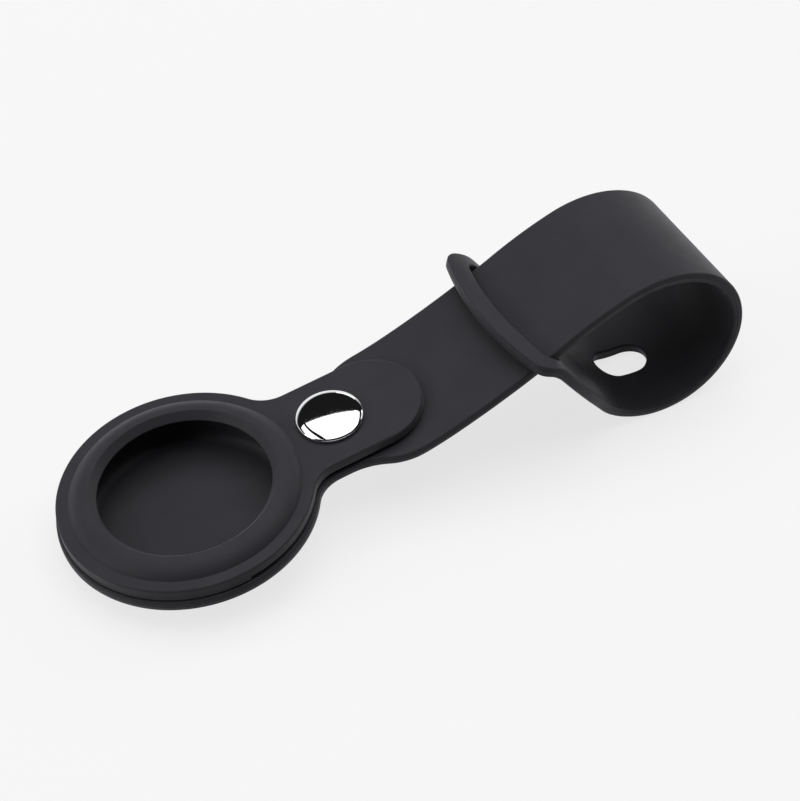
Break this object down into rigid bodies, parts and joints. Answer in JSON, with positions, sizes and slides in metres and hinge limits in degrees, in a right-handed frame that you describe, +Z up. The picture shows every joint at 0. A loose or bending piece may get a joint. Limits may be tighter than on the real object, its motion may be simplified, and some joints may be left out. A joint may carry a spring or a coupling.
{
  "type": "tracker tag holder",
  "caption": "Silicone case for a coin-shaped tracker tag, with a snap-down front flap and a strap threaded through its own slotted end to form a loop.",
  "frame": {"origin": "on the ground, under the middle of the object's box", "axes": "+X from the tag case towards the strap's loop, +Z up from the ground on which it lies, +Y across the strap"},
  "size_m": [0.1092, 0.0394, 0.0278],
  "materials": {
    "silicone": "matte moulded silicone",
    "chrome_cap": "polished chrome plate",
    "nickel": "satin nickel plate",
    "spring_wire": "drawn wire"
  },
  "bodies": {
    "case": {"front_cover": "silicone", "case_back": "silicone", "strap": "silicone", "strap_end": "silicone", "snap_stud": "nickel", "snap_post": "nickel"},
    "flap": {"cover_flap": "silicone", "snap_cap": "chrome_cap", "snap_socket": "nickel", "snap_spring": "spring_wire"}
  },
  "joints": [
    {"name": "flap_lift", "type": "hinge", "parent": "case", "child": "flap", "pos_m": [-0.03466, 0, 0.01148], "axis": [0, -1, 0], "range_deg": [0, 60]}
  ]
}
